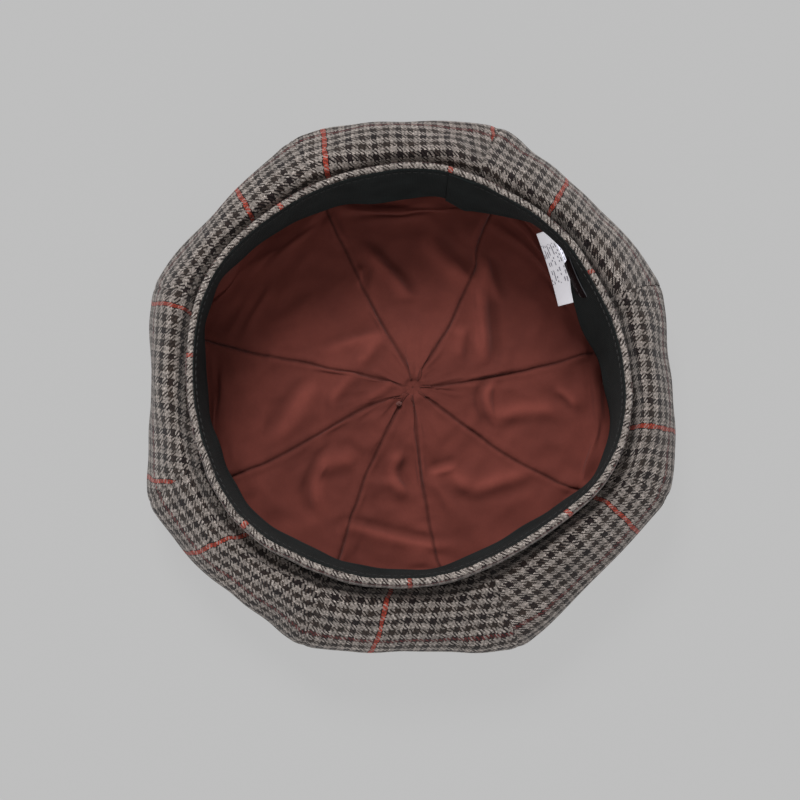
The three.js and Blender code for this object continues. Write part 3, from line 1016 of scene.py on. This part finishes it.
def make_tack(star):
    """The knot of thread that ties the lining's centre to the crown."""
    centre = star + np.array([-6.3, -7.5, 0.9]) * MM
    rng = np.random.default_rng(5)
    turns = 9
    t = np.linspace(0, 1, 220)
    wobble = rng.uniform(-0.5, 0.5)
    spiral = np.stack(
        [
            1.1 * np.cos(TAU * turns * t) * np.sin(math.pi * t * 0.9 + 0.2),
            0.9 * np.sin(TAU * turns * t) * np.sin(math.pi * t * 0.9 + 0.2),
            1.0 * np.cos(math.pi * t) + 0.2 * np.sin(23 * t + wobble),
        ],
        -1,
    )
    tail = np.stack([1.2 + 4 * t[:60], 0.6 + 2.5 * t[:60] + np.sin(9 * t[:60]), -0.9 - 0.3 * t[:60]], -1)
    curve = bpy.data.curves.new("lining_knot", "CURVE")
    curve.dimensions = "3D"
    curve.bevel_depth = 0.22 * MM
    curve.bevel_resolution = 3
    for path in (spiral, tail):
        spline = curve.splines.new("POLY")
        spline.points.add(len(path) - 1)
        flat = np.concatenate([centre + path * MM, np.ones((len(path), 1))], 1)
        spline.points.foreach_set("co", flat.ravel())
    curve.materials.append(RUST_THREAD)
    piece = bpy.data.objects.new("lining_knot", curve)
    bpy.context.scene.collection.objects.link(piece)
    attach(piece, "cap")
    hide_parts("lining_tack")


# ---- Labels ----


def hinge(joint):
    """A joint's place and the directions along its axis, inwards and up."""
    data = next(j for j in frame["record"]["behaviour"]["joints"] if j["name"] == joint)
    origin = np.array(data["pos_m"], float)
    axis = np.array(data["axis"], float)
    inward = np.array([-origin[0], -origin[1], 0.0])
    inward -= axis * inward.dot(axis)
    return origin, axis, inward / np.linalg.norm(inward), np.array([0.0, 0.0, 1.0])


def label_grid(joint, width, path, columns, curl, slide=0.0):
    """A label whose section is path, as (inwards, up) points from the hinge, swept along the hinge's axis.
    curl says how far each place of the grid stands inwards of that, from (-1 to 1 across, 0 at the sewn edge
    to 1 at the free one). slide is how far the free edge has moved along the axis."""
    origin, axis, inward, up = hinge(joint)
    path = np.array(path)
    down = arc_lengths(path)
    side = np.linspace(-1, 1, columns)
    s, d = np.meshgrid(side, down)
    hang = np.clip(path[:, 1] / path[:, 1].min(), 0, 1)[:, None] * np.ones_like(s)
    grid = (
        origin
        + axis * (s * width / 2 + slide * hang)[..., None]
        + inward * (path[:, 0][:, None] + curl(s, hang))[..., None]
        + up * (path[:, 1][:, None] * np.ones_like(s))[..., None]
    )
    grain = np.stack([s * width / 2, d], -1)
    return grid, grain


def make_care_label():
    """A white tape folded into a loop, with both ends sewn behind the sweatband."""
    low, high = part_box("care_label")
    width, tilt, thick = 35 * MM, math.radians(21), 1.6 * MM
    length = (high[2] - low[2] - thick / 2 * math.sin(tilt)) / math.cos(tilt)
    leaf = np.linspace(0, length - thick / 2, 22)
    section = [(thick / 2 * (1 + 0.5 * math.sin(math.pi * s / length)), -s) for s in leaf]
    for turn in np.linspace(0, math.pi, 9)[1:-1]:
        section.append((thick / 2 * math.cos(turn), -leaf[-1] - thick / 2 * math.sin(turn)))
    section += [(-thick / 2, -s) for s in leaf[::-1]]
    path = [
        (n * math.cos(tilt) - d * math.sin(tilt), d * math.cos(tilt) + n * math.sin(tilt)) for n, d in section
    ]

    def curl(side, down):
        sewn = (-1.2 + 2.3 * side**2 + 0.8 * side) * MM
        loose = (-0.4 + 0.5 * side**2) * MM
        return sewn * (1 - down) + loose * down

    grid, grain = label_grid("care_label_hinge", width, path, 48, curl, 2.6 * MM)
    grain[..., 1] -= length
    piece = grid_piece("care_label_tape", grid, CARE_TAPE, grain)
    thicken(piece, 0.25 * MM, 0)
    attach(piece, "care_label")
    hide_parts("care_label")


def make_size_label():
    """A small black satin tab on the sweatband's inner face."""
    width, length = 24 * MM, 10 * MM
    path = [(0, -s) for s in np.linspace(0, length, 18)]

    def curl(side, down):
        return (-2.8 - 0.7 * side**2 - 0.5 * side + 1.9 * down**1.2 + 0.4 * np.sin(math.pi * down)) * MM

    grid, grain = label_grid("size_label_hinge", width, path, 30, curl)
    piece = grid_piece("size_label_tab", grid, SIZE_SATIN, grain)
    thicken(piece, 0.3 * MM, 0)
    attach(piece, "size_label")
    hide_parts("size_label")


# ---- Button ----


def make_button():
    """A covered button: cloth drawn over a dome, with small gathers at its edge."""
    rows, columns = 36, 96
    angle = np.arange(columns) * TAU / columns
    t = np.linspace(0.02, 1, rows)
    inner = [(BUTTON_RADIUS * x, (BUTTON_HEIGHT - MM) * (1 - math.sqrt(1 - (0.98 * x) ** 2))) for x in t]
    hem = [(BUTTON_RADIUS - 0.2 * MM, BUTTON_HEIGHT - 0.4 * MM), (BUTTON_RADIUS - MM, BUTTON_HEIGHT)]
    section = np.array(inner + hem)
    gather = 0.18 * MM * np.cos(angle * 20)[None, :] * smooth(0.5, 1, section[:, 0] / BUTTON_RADIUS)[:, None]
    a, r = np.meshgrid(angle, section[:, 0])
    grid = polar(r + gather - 0.1 * MM, a, section[:, 1][:, None] + 0 * a)
    wrapped = np.concatenate([grid, grid[:, :1]], 1)
    piece = grid_piece("button_cloth", grid, TWEED_CLOTH, wrapped[..., :2].copy(), ring=True)
    thicken(piece, 0.8 * MM)
    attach(piece, "cap")
    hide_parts("button_cover")
    frame["nodes"]["button_mould"].data.materials[0] = MOULD_PLASTIC
    for node in ("button_pin", "button_washer"):
        frame["nodes"][node].data.materials[0] = BUTTON_STEEL


# ---- Stage, light and camera ----

CAMERA_ABOVE_RIM = 1.2
CAMERA_TILT = math.radians(8.6)
SENSOR = 0.036
VIEW_WIDTH = 0.3486  # what the picture takes in at the rim's height
FLOOR_HALF = 12


def make_stage():
    g = Graph("paper")
    speckle = g.noise(g.place(), 300.0, 2.0)
    colour = g.scaled((0.05, 0.05, 0.05, 1.0), g.remap(speckle, 0.3, 0.7, 0.995, 1.005))
    paper = g.finish(
        colour, 0.95, Specular_IOR_Level=0.1, Emission_Color=(1.0, 1.0, 1.0, 1.0), Emission_Strength=0.475
    )
    mesh = bpy.data.meshes.new("paper_floor")
    corners = [(x * FLOOR_HALF, y * FLOOR_HALF, 0) for x, y in ((-1, -1), (1, -1), (1, 1), (-1, 1))]
    mesh.from_pydata(corners, [], [(0, 1, 2, 3)])
    link("paper_floor", mesh, paper)

    world = bpy.data.worlds.new("studio")
    bpy.context.scene.world = world
    world.use_nodes = True
    background = world.node_tree.nodes["Background"]
    background.inputs["Color"].default_value = (1.0, 1.0, 1.0, 1.0)
    background.inputs["Strength"].default_value = 0.34

    def sun(name, strength, spread, towards):
        lamp = bpy.data.lights.new(name, "SUN")
        lamp.energy = strength
        lamp.angle = math.radians(spread)
        holder = bpy.data.objects.new(name, lamp)
        holder.rotation_mode = "QUATERNION"
        holder.rotation_quaternion = Vector(towards).to_track_quat("-Z", "Y")
        bpy.context.scene.collection.objects.link(holder)

    sun("key", 1.70, 22, (0.12, -0.48, -0.62))
    sun("fill", 0.6, 40, (-0.05, 0.92, -0.38))


def make_camera():
    data = bpy.data.cameras.new("camera")
    data.sensor_width = SENSOR * 1000
    data.lens = SENSOR * CAMERA_ABOVE_RIM / VIEW_WIDTH * 1000
    data.clip_start, data.clip_end = 0.05, 50
    camera = bpy.data.objects.new("camera", data)
    aim = Vector((-2.4 * MM, -11.1 * MM, RIM_Z))
    back = Vector((0, -math.sin(CAMERA_TILT), math.cos(CAMERA_TILT)))
    camera.location = aim + back * CAMERA_ABOVE_RIM
    camera.rotation_mode = "QUATERNION"
    camera.rotation_quaternion = (-back).to_track_quat("-Z", "Y")
    bpy.context.scene.collection.objects.link(camera)
    bpy.context.scene.camera = camera


make_camera()
make_stage()
bpy.context.scene.view_settings.view_transform = "Standard"
make_crown()
make_headband()
make_sweatband()
make_rim_stitches()
make_tack(make_lining_pieces())
make_care_label()
make_size_label()
make_button()
